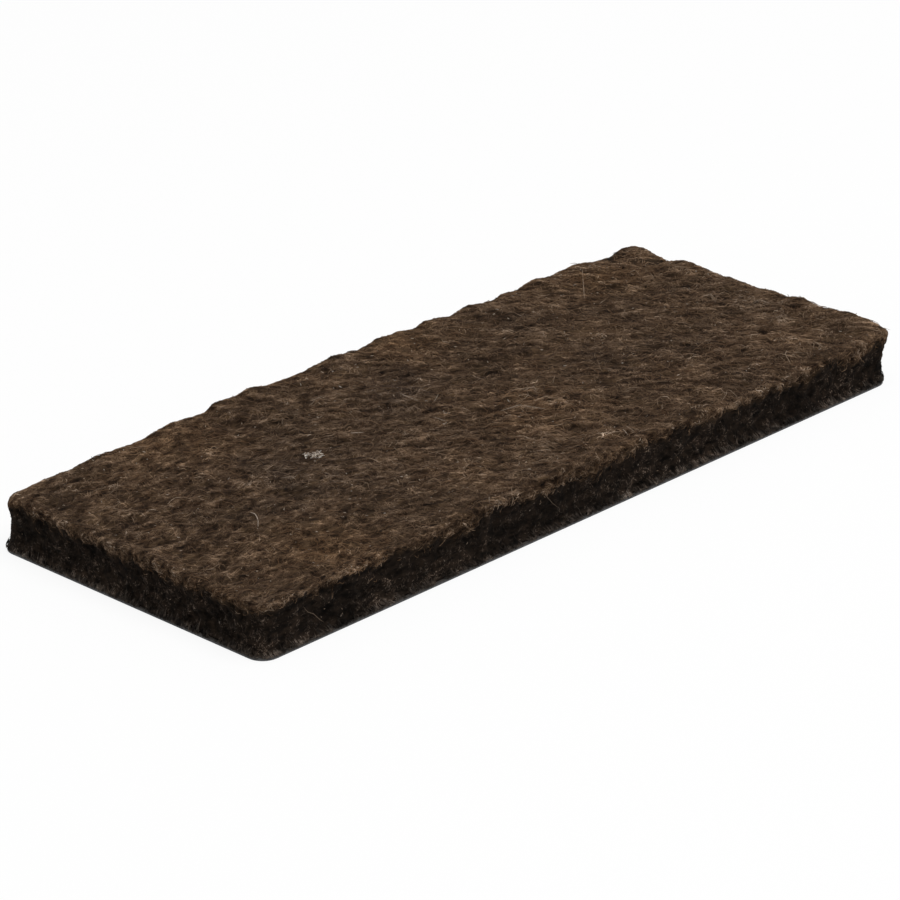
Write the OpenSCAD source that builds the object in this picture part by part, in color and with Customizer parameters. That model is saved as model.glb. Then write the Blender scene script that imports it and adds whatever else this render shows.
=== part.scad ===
// Self-adhesive felt furniture slider, lying on its release liner with the gliding face up.
// Millimetres. The origin is the middle of the liner's outer face, +X runs along the pad's length,
// and +Z points from the liner to the felt's gliding face.

/* [Die-cut outline] */
// Length of the pad, along X
pad_length = 100; // [60:1:160]
// Width of the pad, along Y
pad_width = 40; // [25:1:55]
// Radius of the pad's corners in plan
corner_radius = 2; // [1:0.1:8]

/* [Felt] */
// Thickness of the felt at the crest of its gliding face
felt_thickness = 5.8; // [3.5:0.1:12]
// Distance from the tape's cut edge in to the felt's foot
felt_setback = 0.1; // [0:0.05:0.4]
// How far the felt's wall is drawn in halfway up
wall_waist = 0.3; // [0:0.05:0.8]
// Radius of the soft edge between the wall and the gliding face
soft_edge_radius = 0.6; // [0.4:0.1:1.4]
// Fall of the gliding face from its middle to its two ends
face_crown = 0.3; // [0:0.05:0.6]
// Depth of the hollows that punching leaves in the gliding face
face_hollow_depth = 0.25; // [0:0.05:0.5]
// Spacing of the hollows in the gliding face
face_hollow_spacing = 17; // [10:1:30]
// Depth of the scallops along the upper rim
rim_scallop_depth = 0.5; // [0:0.05:0.8]
// Length of one scallop along the upper rim
rim_scallop_length = 11; // [8:0.5:20]

/* [Adhesive tape] */
// Thickness of the adhesive coat on the felt's side of the tape
felt_side_coat = 0.1; // [0.04:0.01:0.2]
// Thickness of the tissue that carries both coats
carrier_thickness = 0.05; // [0.03:0.01:0.1]
// Thickness of the adhesive coat on the furniture's side of the tape
furniture_side_coat = 0.1; // [0.04:0.01:0.2]

/* [Release liner] */
// Thickness of the release liner
liner_thickness = 0.15; // [0.08:0.01:0.3]

/* [Hidden] */
$fn = 48;

felt_colour = "#46382c";
adhesive_colour = "#3e3c3b";
carrier_colour = "#393634";
liner_colour = "#4c4d4e";

// Heights where one layer meets the next, counted from the liner's outer face
liner_top = liner_thickness;
furniture_coat_top = liner_top + furniture_side_coat;
carrier_top = furniture_coat_top + carrier_thickness;
felt_foot = carrier_top + felt_side_coat;
felt_crest = felt_foot + felt_thickness;

// Counts of steps round the outline, up the wall and over the soft edge
corner_steps = 4;
long_side_steps = 40;
end_steps = 16;
wall_steps = 4;
soft_edge_steps = 2;

// How the ripples of the rim and the face slant across the pad, and how much slower the second one runs
ripple_slant_share = 0.45;
ripple_slow_share = 0.6;

// Rings of the gliding face, as shares of the way from its middle line out to its rim
face_ring_shares = [0.75, 0.4];
// Length of the face's middle line, as a share of the pad's length
middle_line_share = 1 - pad_width / pad_length;

// Middles of the corner arcs, counter-clockwise from the corner at +X, +Y
corner_signs = [[1, 1], [-1, 1], [-1, -1], [1, -1]];
corner_reach = [pad_length / 2 - corner_radius, pad_width / 2 - corner_radius];

function corner_middle(corner) =
    let (signs = corner_signs[corner % len(corner_signs)])
    [signs.x * corner_reach.x, signs.y * corner_reach.y];

function out_from_corner(angle) = corner_radius * [cos(angle), sin(angle)];

function side_steps(corner) = corner % 2 == 0 ? long_side_steps : end_steps;

// Points of one corner arc
function corner_points(corner) = [
    for (step = [0 : corner_steps])
        corner_middle(corner) + out_from_corner(90 * (corner + step / corner_steps))
];

// Points of the straight side that follows a corner, without its two ends
function side_points(corner) = [
    for (step = [1 : side_steps(corner) - 1])
        let (share = step / side_steps(corner))
        (1 - share) * corner_middle(corner) + share * corner_middle(corner + 1)
            + out_from_corner(90 * (corner + 1))
];

outline = [for (corner = [0 : 3]) each concat(corner_points(corner), side_points(corner))];
station_count = len(outline);

// Irregular ripple between 0 and 1 over the plan
function ripple(place, spacing) =
    let (
        first = sin(360 * (place.x + ripple_slant_share * place.y) / spacing),
        second = sin(360 * (ripple_slow_share * place.x - place.y) / spacing)
    )
    (2 + first + second) / 4;

// Outline point moved in from the die-cut edge
function moved_in(place, inset) = [
    place.x * (1 - 2 * inset / pad_length),
    place.y * (1 - 2 * inset / pad_width)
];

// Height of the gliding face over a place in the plan
function face_height(place) =
    felt_crest
    - face_crown * pow(2 * place.x / pad_length, 2)
    - face_hollow_depth * ripple(place, face_hollow_spacing);

// How far the top of the wall stands in from the die-cut edge
function wall_top_inset(place) = felt_setback + rim_scallop_depth * ripple(place, rim_scallop_length);

// Where the soft edge runs out into the gliding face
function rim_point(place) = moved_in(place, wall_top_inset(place) + soft_edge_radius);

// Point of the wall, from its foot at share 0 to the start of the soft edge at share 1
function wall_point(place, share) =
    let (
        inset = (1 - share) * felt_setback + share * wall_top_inset(place) + wall_waist * sin(180 * share),
        wall_top = face_height(rim_point(place)) - soft_edge_radius,
        plan = moved_in(place, inset)
    )
    [plan.x, plan.y, (1 - share) * felt_foot + share * wall_top];

// Point of the soft edge, from upright at angle 0 to level at 90
function soft_edge_point(place, angle) =
    let (
        plan = moved_in(place, wall_top_inset(place) + soft_edge_radius * (1 - cos(angle))),
        wall_top = face_height(rim_point(place)) - soft_edge_radius
    )
    [plan.x, plan.y, wall_top + soft_edge_radius * sin(angle)];

// Foot of an outline point on the face's middle line
function middle_line_foot(place) = [place.x * middle_line_share, 0];

// Point of the gliding face, from the middle line at share 0 to the rim at share 1
function face_point(place, share) =
    let (plan = (1 - share) * middle_line_foot(place) + share * rim_point(place))
    [plan.x, plan.y, face_height(plan)];

felt_rings = concat(
    [for (step = [0 : wall_steps]) [for (place = outline) wall_point(place, step / wall_steps)]],
    [for (step = [1 : soft_edge_steps])
        [for (place = outline) soft_edge_point(place, 90 * step / soft_edge_steps)]],
    [for (share = face_ring_shares) [for (place = outline) face_point(place, share)]]
);

// The outline runs from the +X end along +Y, round the -X end, back along -Y and across the +X end.
// Stations facing each other across the pad share one point of the middle line.
half_count = (station_count - 2 * (end_steps - 1)) / 2;
middle_line = [for (station = [0 : half_count - 1]) face_point(outline[station], 0)];
far_end_start = half_count;
return_start = far_end_start + end_steps - 1;
near_end_start = return_start + half_count;

function middle_line_index(station) =
    station < far_end_start ? station
    : station < return_start ? half_count - 1
    : station < near_end_start ? near_end_start - 1 - station
    : 0;

// Two triangles between a ring and the ring above it
function band_faces(ring, station) =
    let (
        next = (station + 1) % station_count,
        low = ring * station_count,
        high = low + station_count
    )
    [[low + station, high + station, high + next], [low + station, high + next, low + next]];

// Triangles that close the face from its last ring to the middle line
function closing_faces(station) =
    let (
        next = (station + 1) % station_count,
        ring = (len(felt_rings) - 1) * station_count,
        line = len(felt_rings) * station_count,
        here = line + middle_line_index(station),
        there = line + middle_line_index(next),
        outer = [ring + station, there, ring + next]
    )
    here == there ? [outer] : [[ring + station, here, there], outer];

// The foot is flat, and closed by triangles round its own middle point
felt_points = concat([for (ring = felt_rings) each ring], middle_line, [[0, 0, felt_foot]]);
foot_middle = len(felt_points) - 1;
felt_faces = concat(
    [for (station = [0 : station_count - 1]) [station, (station + 1) % station_count, foot_middle]],
    [for (ring = [0 : len(felt_rings) - 2]) for (station = [0 : station_count - 1])
        each band_faces(ring, station)],
    [for (station = [0 : station_count - 1]) each closing_faces(station)]
);

// One thin layer of the laminate, cut to the pad's outline
module die_cut_layer(bottom, thickness) {
    translate([0, 0, bottom])
        linear_extrude(thickness) {
            square([pad_length, 2 * corner_reach.y], center = true);
            square([2 * corner_reach.x, pad_width], center = true);
            for (corner = [0 : 3])
                translate(corner_middle(corner))
                    circle(corner_radius);
        }
}

// Block of needle-punched felt, with a waisted wall, a soft scalloped rim and an uneven gliding face
module felt_pad() {
    color(felt_colour)
        polyhedron(felt_points, felt_faces);
}

// Adhesive that holds the tape to the felt
module felt_side_adhesive() {
    color(adhesive_colour)
        die_cut_layer(carrier_top, felt_side_coat);
}

// Tissue in the middle of the tape
module tape_carrier() {
    color(carrier_colour)
        die_cut_layer(furniture_coat_top, carrier_thickness);
}

// Adhesive that sticks to the furniture
module furniture_side_adhesive() {
    color(adhesive_colour)
        die_cut_layer(liner_top, furniture_side_coat);
}

// Siliconised paper that peels off before use
module release_liner() {
    color(liner_colour)
        die_cut_layer(0, liner_thickness);
}

felt_pad();
felt_side_adhesive();
tape_carrier();
furniture_side_adhesive();
release_liner();
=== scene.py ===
"""Looks of a self-adhesive felt furniture slider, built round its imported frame."""
import logging
import math
from collections.abc import Callable
from dataclasses import dataclass, field
from enum import Enum

import bmesh
import bpy
import numpy as np
from mathutils import Color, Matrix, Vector, noise
from mathutils.bvhtree import BVHTree


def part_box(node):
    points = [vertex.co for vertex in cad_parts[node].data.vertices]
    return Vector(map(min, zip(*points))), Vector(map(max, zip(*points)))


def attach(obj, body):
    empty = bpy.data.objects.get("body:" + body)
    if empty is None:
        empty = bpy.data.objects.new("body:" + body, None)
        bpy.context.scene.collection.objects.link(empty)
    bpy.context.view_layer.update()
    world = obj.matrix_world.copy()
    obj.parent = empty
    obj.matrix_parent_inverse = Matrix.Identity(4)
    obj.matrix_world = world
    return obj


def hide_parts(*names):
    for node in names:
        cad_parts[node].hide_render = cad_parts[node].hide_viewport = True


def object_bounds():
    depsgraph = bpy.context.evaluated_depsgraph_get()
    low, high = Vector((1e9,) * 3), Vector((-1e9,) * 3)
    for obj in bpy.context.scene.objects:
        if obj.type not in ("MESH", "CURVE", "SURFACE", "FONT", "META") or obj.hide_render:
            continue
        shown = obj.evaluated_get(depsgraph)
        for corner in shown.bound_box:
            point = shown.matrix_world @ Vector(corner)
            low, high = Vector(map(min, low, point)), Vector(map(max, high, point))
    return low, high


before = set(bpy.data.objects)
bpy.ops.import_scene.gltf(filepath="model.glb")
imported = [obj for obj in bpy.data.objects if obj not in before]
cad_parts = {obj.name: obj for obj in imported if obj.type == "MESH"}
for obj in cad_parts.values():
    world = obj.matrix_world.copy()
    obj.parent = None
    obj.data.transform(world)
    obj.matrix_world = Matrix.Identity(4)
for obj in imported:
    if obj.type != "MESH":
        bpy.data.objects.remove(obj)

CAD_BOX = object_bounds()
MM = 0.001
UP = Vector((0, 0, 1))
WHITE = (1.0, 1.0, 1.0, 1.0)
LOG = logging.getLogger("felt_slider")

Colour = tuple[float, float, float, float]
Span = tuple[float, float]
Triple = tuple[float, float, float]
Socket = bpy.types.NodeSocket


def linear(code: str) -> Colour:
    """Turn a colour as it looks into the linear values that a shader takes.

    Args:
        code: The colour as six hexadecimal digits after a hash sign.

    Returns:
        Linear red, green and blue, and an alpha of one.
    """
    shown = Color([int(code[place:place + 2], 16) / 255 for place in (1, 3, 5)])
    return *shown.from_srgb_to_scene_linear(), 1.0


def level(share: float, redden: float = 0.0) -> Colour:
    """Make a colour that darkens or lightens what it multiplies.

    Args:
        share: How much of the red is kept.
        redden: Share of green and, twice over, of blue that is lost besides.

    Returns:
        The colour to multiply by.
    """
    return share, share * (1 - redden), share * (1 - 2 * redden), 1.0


def only(piece: bpy.types.Object) -> None:
    """Make one object the only selected and active one.

    Args:
        piece: The object.
    """
    bpy.ops.object.select_all(action="DESELECT")
    piece.select_set(True)
    bpy.context.view_layer.objects.active = piece


class Graph:
    """A node tree, with short ways to add and join its nodes."""

    def __init__(self, tree: bpy.types.NodeTree) -> None:
        """Keep the tree that the nodes go into."""
        self.tree = tree

    def add(
        self, kind: str, values: dict[str | int, object] | None = None, **settings: object
    ) -> bpy.types.Node:
        """Add one node.

        Args:
            kind: The node's type name.
            values: Values of its inputs, by socket name or number.
            settings: Properties of the node itself.

        Returns:
            The new node.
        """
        node = self.tree.nodes.new(kind)
        for name, setting in settings.items():
            setattr(node, name, setting)
        for socket, value in (values or {}).items():
            node.inputs[socket].default_value = value
        return node

    def join(self, source: Socket, target: Socket) -> None:
        """Link an output to an input."""
        self.tree.links.new(source, target)

    def clouds(self, place: Socket, values: dict[str | int, object]) -> bpy.types.Node:
        """Draw a cloudy pattern over a surface.

        Args:
            place: The place on the surface.
            values: The pattern's scale, detail and the like.

        Returns:
            The pattern's node.
        """
        node = self.add("ShaderNodeTexNoise", values)
        self.join(place, node.inputs["Vector"])
        return node

    def ramp(self, factor: Socket, stops: dict[float, Colour]) -> Socket:
        """Turn a value into a colour.

        Args:
            factor: The value that picks the colour.
            stops: Colours by their place on the ramp.

        Returns:
            The ramp's colour output.
        """
        node = self.add("ShaderNodeValToRGB")
        elements = node.color_ramp.elements
        while len(elements) < len(stops):
            elements.new(0.5)
        for element, (place, colour) in zip(elements, stops.items()):
            element.position = place
            element.color = colour
        self.join(factor, node.inputs["Fac"])
        return node.outputs["Color"]

    def run(self, factor: Socket, stops: Span, dark: str, light: str) -> Socket:
        """Run from a dark colour to a light one between two values."""
        return self.ramp(factor, dict(zip(stops, (linear(dark), linear(light)))))

    def sum(self, operation: str, first: Socket, *others: Socket | float) -> Socket:
        """Work out one value from two or three.

        Args:
            operation: The sum's name, such as MULTIPLY.
            first: The first value.
            others: The other values, linked or plain.

        Returns:
            The result.
        """
        node = self.add("ShaderNodeMath", operation=operation)
        self.join(first, node.inputs[0])
        for number, other in enumerate(others, start=1):
            if isinstance(other, float):
                node.inputs[number].default_value = other
            else:
                self.join(other, node.inputs[number])
        return node.outputs[0]

    def shade(self, colour: Socket, factor: Socket, levels: dict[float, Colour]) -> Socket:
        """Darken or lighten a colour by a value.

        Args:
            colour: The colour.
            factor: The value.
            levels: What the colour is multiplied by, by value.

        Returns:
            The shaded colour.
        """
        node = self.add("ShaderNodeMix", {"Factor": 1.0}, data_type="RGBA", blend_type="MULTIPLY")
        self.join(colour, node.inputs["A"])
        self.join(self.ramp(factor, levels), node.inputs["B"])
        return node.outputs["Result"]

    def mix(self, factor: Socket, low: Socket, high: Socket) -> Socket:
        """Blend two colours.

        Args:
            factor: Share of the second colour.
            low: The colour at factor 0.
            high: The colour at factor 1.

        Returns:
            The blended colour.
        """
        node = self.add("ShaderNodeMix", data_type="RGBA")
        self.join(factor, node.inputs["Factor"])
        self.join(low, node.inputs["A"])
        self.join(high, node.inputs["B"])
        return node.outputs["Result"]

    def bump(self, height: Socket, strength: float, distance: float) -> Socket:
        """Turn a pattern into a bumpy normal.

        Args:
            height: The pattern.
            strength: How much of it shows.
            distance: Its full height.

        Returns:
            The normal.
        """
        node = self.add("ShaderNodeBump", {"Strength": strength, "Distance": distance})
        self.join(height, node.inputs["Height"])
        return node.outputs["Normal"]


def principled(
    name: str, roughness: float, specular: float
) -> tuple[bpy.types.Material, Graph, bpy.types.Node]:
    """Start a material.

    Args:
        name: The material's name.
        roughness: Its roughness all over.
        specular: Its specular level all over.

    Returns:
        The material, its node tree and its shader.
    """
    material = bpy.data.materials.new(name)
    material.use_nodes = True
    graph = Graph(material.node_tree)
    shader = graph.tree.nodes["Principled BSDF"]
    shader.inputs["Roughness"].default_value = roughness
    shader.inputs["Specular IOR Level"].default_value = specular
    return material, graph, shader


@dataclass(frozen=True)
class HeatherGroup:
    """Node group for heathered wool: streaks along the fibres, a mottle that places painted shade in pits
    and painted light on crests, and larger patches.
    """

    streak_length: float = 2.4 * MM
    streak_width: float = 0.7 * MM
    streak_detail: float = 2.0
    mottle_length: float = 2.0 * MM
    mottle_width: float = 0.95 * MM
    mottle_detail: float = 3.0
    grain_roughness: float = 0.72
    grain_turn: float = math.radians(30.0)
    grain_bend: float = 6.0
    patch_length: float = 8.0 * MM
    patch_detail: float = 3.0
    patch_roughness: float = 0.55
    wander: float = 1.1 * MM
    wander_length: float = 5.0 * MM
    wander_detail: float = 1.0

    def build(self) -> bpy.types.NodeTree:
        """Make the group.

        Returns:
            A group that takes a place and puts out Streak, Mottle and Patch, all between 0 and 1.
        """
        tree = bpy.data.node_groups.new("Heathered wool", "ShaderNodeTree")
        tree.interface.new_socket("Place", in_out="INPUT", socket_type="NodeSocketVector")
        for name in ("Streak", "Mottle", "Patch"):
            tree.interface.new_socket(name, in_out="OUTPUT", socket_type="NodeSocketFloat")
        graph = Graph(tree)
        place = graph.add("NodeGroupInput").outputs["Place"]
        result = graph.add("NodeGroupOutput")
        combed = self.comb(graph, place)
        for output, length, width, detail in (
            ("Streak", self.streak_length, self.streak_width, self.streak_detail),
            ("Mottle", self.mottle_length, self.mottle_width, self.mottle_detail),
        ):
            drawn = graph.add("ShaderNodeMapping", {"Scale": (1 / length, 1 / width, 1 / width)})
            graph.join(combed, drawn.inputs["Vector"])
            look = {"Scale": 1.0, "Detail": detail, "Roughness": self.grain_roughness}
            grain = graph.clouds(drawn.outputs["Vector"], look)
            graph.join(grain.outputs["Fac"], result.inputs[output])
        patch = graph.clouds(place, {
            "Scale": 1 / self.patch_length,
            "Detail": self.patch_detail,
            "Roughness": self.patch_roughness,
        })
        graph.join(patch.outputs["Fac"], result.inputs["Patch"])
        return tree

    def comb(self, graph: Graph, place: Socket) -> Socket:
        """Shift, bend and turn a place, so that a pattern drawn over it follows the fibres.

        Args:
            graph: The tree that the nodes go into.
            place: The place on the felt.

        Returns:
            The place along and across the fibres.
        """
        drift = graph.clouds(place, {"Scale": 1 / self.wander_length, "Detail": self.wander_detail})
        swing = graph.add("ShaderNodeVectorMath", {1: (self.wander,) * 3}, operation="MULTIPLY_ADD")
        graph.join(drift.outputs["Color"], swing.inputs[0])
        graph.join(place, swing.inputs[2])
        flat = graph.add("ShaderNodeSeparateXYZ")
        graph.join(swing.outputs["Vector"], flat.inputs["Vector"])
        square = graph.sum("MULTIPLY", flat.outputs["X"], flat.outputs["X"])
        bow = graph.sum("MULTIPLY", square, self.grain_bend)
        bent = graph.add("ShaderNodeCombineXYZ")
        graph.join(flat.outputs["X"], bent.inputs["X"])
        graph.join(graph.sum("ADD", flat.outputs["Y"], bow), bent.inputs["Y"])
        graph.join(flat.outputs["Z"], bent.inputs["Z"])
        turned = graph.add("ShaderNodeMapping", {"Rotation": (0, 0, self.grain_turn)})
        graph.join(bent.outputs["Vector"], turned.inputs["Vector"])
        return turned.outputs["Vector"]


@dataclass(frozen=True)
class FeltFinish:
    """Finish of the felt block under its nap: dark wool, nearly black on the cut wall, partly for the cut
    fibre ends and partly as painted shade of the sides, with painted shade in pits, painted light on crests
    and painted bounce light at the foot.
    """

    face_dark: str = "#261c14"
    face_light: str = "#4b3b2b"
    face_stops: Span = (0.3, 0.72)
    # The cut wall's near-black is partly the cut fibre ends and partly painted shade of the sides, which get
    # less of the overhead light.
    wall_dark: str = "#0f0b08"
    wall_light: str = "#2b221b"
    wall_stops: Span = (0.35, 0.8)
    patch_level: float = 0.55
    patch_stops: Span = (0.3, 0.65)
    # Painted shade in the pits and painted light on the crests of the wool.
    pit_painted_shade_level: float = 0.3
    painted_shade_redden: float = 0.12
    crest_painted_light_level: float = 1.4
    pit_stops: Triple = (0.36, 0.48, 0.62)
    # Painted light bounced from the floor onto the foot of the wall, along with pale lint there.
    foot_painted_light_level: float = 2.2
    foot_painted_light_redden: float = -0.05
    foot_low: float = 0.4 * MM
    foot_high: float = 1.3 * MM
    roughness: float = 0.95
    specular: float = 0.05
    bump_strength: float = 1.0
    bump_height: float = 0.16 * MM

    def build(self, heather: bpy.types.NodeTree) -> bpy.types.Material:
        """Make the material.

        Args:
            heather: The heathered wool group.

        Returns:
            A material that reads the felt's own cut attribute.
        """
        material, graph, shader = principled("Brown felt block", self.roughness, self.specular)
        place = graph.add("ShaderNodeTexCoord").outputs["Object"]
        wool = graph.add("ShaderNodeGroup", node_tree=heather)
        graph.join(place, wool.inputs["Place"])
        streak = wool.outputs["Streak"]
        face = graph.run(streak, self.face_stops, self.face_dark, self.face_light)
        wall = graph.run(streak, self.wall_stops, self.wall_dark, self.wall_light)
        cut = graph.add("ShaderNodeAttribute", attribute_name=FeltBlock.CUT)
        # Dark wall colour on the cut wall: cut fibre ends and painted shade of the sides.
        colour = graph.mix(cut.outputs["Fac"], face, wall)
        patches = (level(self.patch_level), level(1.0))
        colour = graph.shade(colour, wool.outputs["Patch"], dict(zip(self.patch_stops, patches)))
        # Painted shade in the pits and painted light on the crests, placed by the mottle pattern.
        painted_pit_shade = (level(self.pit_painted_shade_level, self.painted_shade_redden), level(1.0), level(self.crest_painted_light_level))
        colour = graph.shade(colour, wool.outputs["Mottle"], dict(zip(self.pit_stops, painted_pit_shade)))
        # Lighter towards the foot: painted light bounced from the floor, along with pale lint.
        corner = graph.add("ShaderNodeSeparateXYZ")
        graph.join(place, corner.inputs["Vector"])
        foot = graph.add("ShaderNodeMapRange", {"From Min": self.foot_low, "From Max": self.foot_high})
        graph.join(corner.outputs["Z"], foot.inputs["Value"])
        painted_foot_light = {0.0: level(self.foot_painted_light_level, self.foot_painted_light_redden), 1.0: level(1.0)}
        colour = graph.shade(colour, foot.outputs["Result"], painted_foot_light)
        graph.join(colour, shader.inputs["Base Color"])
        graph.join(graph.bump(streak, self.bump_strength, self.bump_height), shader.inputs["Normal"])
        return material


@dataclass(frozen=True)
class NapFinish:
    """Finish of loose wool fibres, coloured one by one from dark to light and from grey to warm, with
    painted shade in pits and furrows and painted light on crests and ridges.
    """

    name: str
    warm: tuple[str, str, str]
    grey: tuple[str, str, str]
    tone_stops: Triple = (0.0, 0.5, 1.0)
    roughness: float = 0.8
    specular: float = 0.08
    patch_depth: float = 0.25
    patch_warmth: float = 0.4
    patch_stops: Span = (0.3, 0.65)
    # Painted shade in furrows and pits, painted light on ridges and crests.
    furrow_painted_shade: float = 0.72
    ridge_painted_light: float = 0.6
    furrow_stops: Triple = (0.3, 0.5, 0.68)
    pit_painted_shade: float = 0.93
    painted_shade_redden: float = 0.1
    crest_painted_light: float = 1.4
    painted_light_redden: float = -0.05
    pit_stops: tuple[float, float, float, float] = (0.31, 0.4, 0.49, 0.67)

    def build(self, heather: bpy.types.NodeTree) -> bpy.types.Material:
        """Make the material.

        Args:
            heather: The heathered wool group.

        Returns:
            A material that reads each fibre's own tone and warmth.
        """
        material, graph, shader = principled(self.name, self.roughness, self.specular)
        tone = graph.add("ShaderNodeAttribute", attribute_name=FibreBundle.TONE).outputs["Fac"]
        warmth = graph.add("ShaderNodeAttribute", attribute_name=FibreBundle.WARMTH).outputs["Fac"]
        warm = graph.ramp(tone, dict(zip(self.tone_stops, map(linear, self.warm))))
        grey = graph.ramp(tone, dict(zip(self.tone_stops, map(linear, self.grey))))
        place = graph.add("ShaderNodeTexCoord").outputs["Object"]
        wool = graph.add("ShaderNodeGroup", node_tree=heather)
        graph.join(place, wool.inputs["Place"])
        swing = graph.sum("MULTIPLY_ADD", wool.outputs["Patch"], self.patch_warmth, -self.patch_warmth / 2)
        colour = graph.mix(graph.sum("ADD", warmth, swing), grey, warm)
        patches = (level(1 - self.patch_depth), level(1.0))
        # Painted shade in furrows and pits, painted light on ridges and crests, placed by the wool patterns.
        painted_furrow_shade = (
            level(1 - self.furrow_painted_shade, self.painted_shade_redden),
            level(1.0),
            level(1 + self.ridge_painted_light, self.painted_light_redden),
        )
        painted_pit_shade = (
            level(1 - self.pit_painted_shade, self.painted_shade_redden),
            level(1 - self.pit_painted_shade / 2, self.painted_shade_redden),
            level(1.0),
            level(1 + self.crest_painted_light, self.painted_light_redden),
        )
        for output, stops, levels in (
            ("Patch", self.patch_stops, patches),
            ("Streak", self.furrow_stops, painted_furrow_shade),
            ("Mottle", self.pit_stops, painted_pit_shade),
        ):
            colour = graph.shade(colour, wool.outputs[output], dict(zip(stops, levels)))
        graph.join(colour, shader.inputs["Base Color"])
        return material


WARM_NAP = ("#2b1d12", "#604934", "#a08a74")
GREY_NAP = ("#281f19", "#5a4c40", "#9b9085")


class Wool(Enum):
    """The kinds of wool on the felt, each with its finish."""

    NAP = NapFinish("Brown nap", WARM_NAP, GREY_NAP)
    LOOSE = NapFinish(
        "Loose brown nap", WARM_NAP, GREY_NAP,
        furrow_painted_shade=0.25, ridge_painted_light=0.1, pit_painted_shade=0.4, crest_painted_light=0.4,
    )
    # Near-black wool of the cut wall: partly the cut fibre ends, partly painted shade of the sides.
    CUT = NapFinish(
        "Cut wool", ("#120d0a", "#3b2f26", "#5d4f44"), ("#100d0c", "#38322d", "#5a534c"),
        patch_depth=0.8, furrow_painted_shade=0.65, ridge_painted_light=0.7,
        pit_painted_shade=0.92, painted_shade_redden=0.0, crest_painted_light=1.6, painted_light_redden=0.0,
    )
    LINT = NapFinish(
        "Pale lint", ("#5e4d3d", "#9f8d7b", "#d8cfc2"), ("#5a5149", "#9b9288", "#d6d2cb"),
        patch_depth=0.0, patch_warmth=0.0, furrow_painted_shade=0.0, ridge_painted_light=0.0,
        pit_painted_shade=0.0, painted_shade_redden=0.0, crest_painted_light=0.0, painted_light_redden=0.0,
    )


@dataclass(frozen=True)
class SheetFinish:
    """Finish of a thin layer: paper, tissue or an adhesive coat, mottled like pulp."""

    name: str
    dark: str
    light: str
    roughness: float
    specular: float = 0.15
    coat: float = 0.0
    coat_roughness: float = 0.25
    mottle_length: float = 0.5 * MM
    mottle_detail: float = 6.0
    mottle_roughness: float = 0.65
    mottle_distortion: float = 0.6
    mottle_stops: Span = (0.3, 0.7)
    bump_strength: float = 0.35
    bump_height: float = 0.02 * MM

    def build(self) -> bpy.types.Material:
        """Make the material.

        Returns:
            A mottled material with a fine bump and, on siliconised paper, a smooth coat.
        """
        material, graph, shader = principled(self.name, self.roughness, self.specular)
        shader.inputs["Coat Weight"].default_value = self.coat
        shader.inputs["Coat Roughness"].default_value = self.coat_roughness
        pulp = graph.clouds(graph.add("ShaderNodeTexCoord").outputs["Object"], {
            "Scale": 1 / self.mottle_length,
            "Detail": self.mottle_detail,
            "Roughness": self.mottle_roughness,
            "Distortion": self.mottle_distortion,
        }).outputs["Fac"]
        graph.join(graph.run(pulp, self.mottle_stops, self.dark, self.light), shader.inputs["Base Color"])
        graph.join(graph.bump(pulp, self.bump_strength, self.bump_height), shader.inputs["Normal"])
        return material


@dataclass(frozen=True)
class Relief:
    """One layer of unevenness in the felt, pushed into its surface along a stretched cloud pattern."""

    name: str
    grain: Triple
    depth: float
    middle: float
    group: str
    turn: float = 0.0
    detail: int = 2
    direction: str = "NORMAL"

    def press(self, felt: bpy.types.Object) -> None:
        """Displace the felt and apply the change.

        Args:
            felt: The felt block.
        """
        bpy.ops.object.empty_add(location=(0, 0, 0), rotation=(0, 0, self.turn))
        grid = bpy.context.object
        grid.scale = self.grain
        bpy.context.view_layer.update()
        pattern = bpy.data.textures.new(self.name, "CLOUDS")
        pattern.noise_scale = 1.0
        pattern.noise_depth = self.detail
        pattern.noise_basis = "IMPROVED_PERLIN"
        only(felt)
        change = felt.modifiers.new(self.name, "DISPLACE")
        change.texture = pattern
        change.texture_coords = "OBJECT"
        change.texture_coords_object = grid
        change.strength = self.depth
        change.mid_level = self.middle
        change.vertex_group = self.group
        change.direction = self.direction
        bpy.ops.object.modifier_apply(modifier=change.name)
        bpy.data.textures.remove(pattern)
        bpy.data.objects.remove(grid)


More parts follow.
